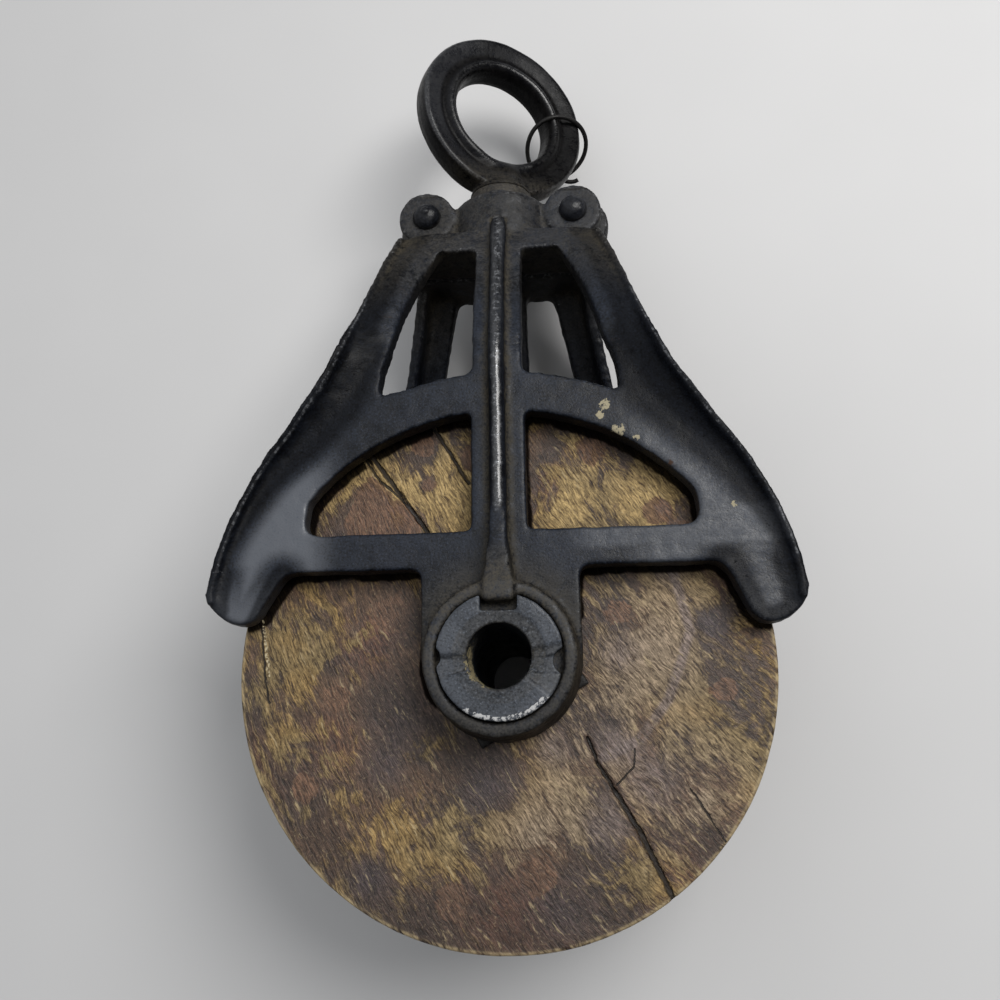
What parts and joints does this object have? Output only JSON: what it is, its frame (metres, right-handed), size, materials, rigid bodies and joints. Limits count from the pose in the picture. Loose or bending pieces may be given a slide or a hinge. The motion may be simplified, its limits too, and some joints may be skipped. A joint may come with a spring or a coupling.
{
  "type": "farm pulley",
  "caption": "Rope pulley with a grooved wooden sheave on a hollow axle between two riveted cast cheeks, hung from a swivel eye.",
  "frame": {"origin": "middle of the axle's bore, halfway between the two cheeks", "axes": "+Z along the axle towards the flanged end, +Y from the axle to the swivel eye, +X across the pulley"},
  "size_m": [0.1542, 0.2808, 0.0847],
  "materials": {
    "cheek_iron": "worn blue-black paint over cast iron",
    "rivet_iron": "dark worn iron",
    "worn_steel": "dull worn steel",
    "sheave_wood": "dry weathered hardwood",
    "bush_iron": "dull grey iron",
    "eye_iron": "smooth dark iron with a brown film",
    "dark_wire": "blackened wire"
  },
  "bodies": {
    "frame": {"front_cheek": "cheek_iron", "rear_cheek": "cheek_iron", "left_rivet": "rivet_iron", "right_rivet": "rivet_iron", "axle": "worn_steel", "axle_ring": "worn_steel", "swivel_washer": "bush_iron"},
    "wheel": {"sheave": "sheave_wood", "sheave_bush": "bush_iron", "rear_bush_plate": "bush_iron"},
    "eye": {"swivel_eye": "eye_iron"},
    "wire": {"wire_loop": "dark_wire"}
  },
  "joints": [
    {"name": "wheel_spin", "type": "hinge", "parent": "frame", "child": "wheel", "pos_m": [0, 0, 0], "axis": [0, 0, 1], "continuous": true},
    {"name": "eye_swivel", "type": "hinge", "parent": "frame", "child": "eye", "pos_m": [0, 0.149, 0], "axis": [0, 1, 0], "continuous": true},
    {"name": "wire_slip", "type": "hinge", "parent": "eye", "child": "wire", "pos_m": [0, 0.1817, 0], "axis": [0.5, 0, 0.866], "range_deg": [-50, 225]}
  ]
}
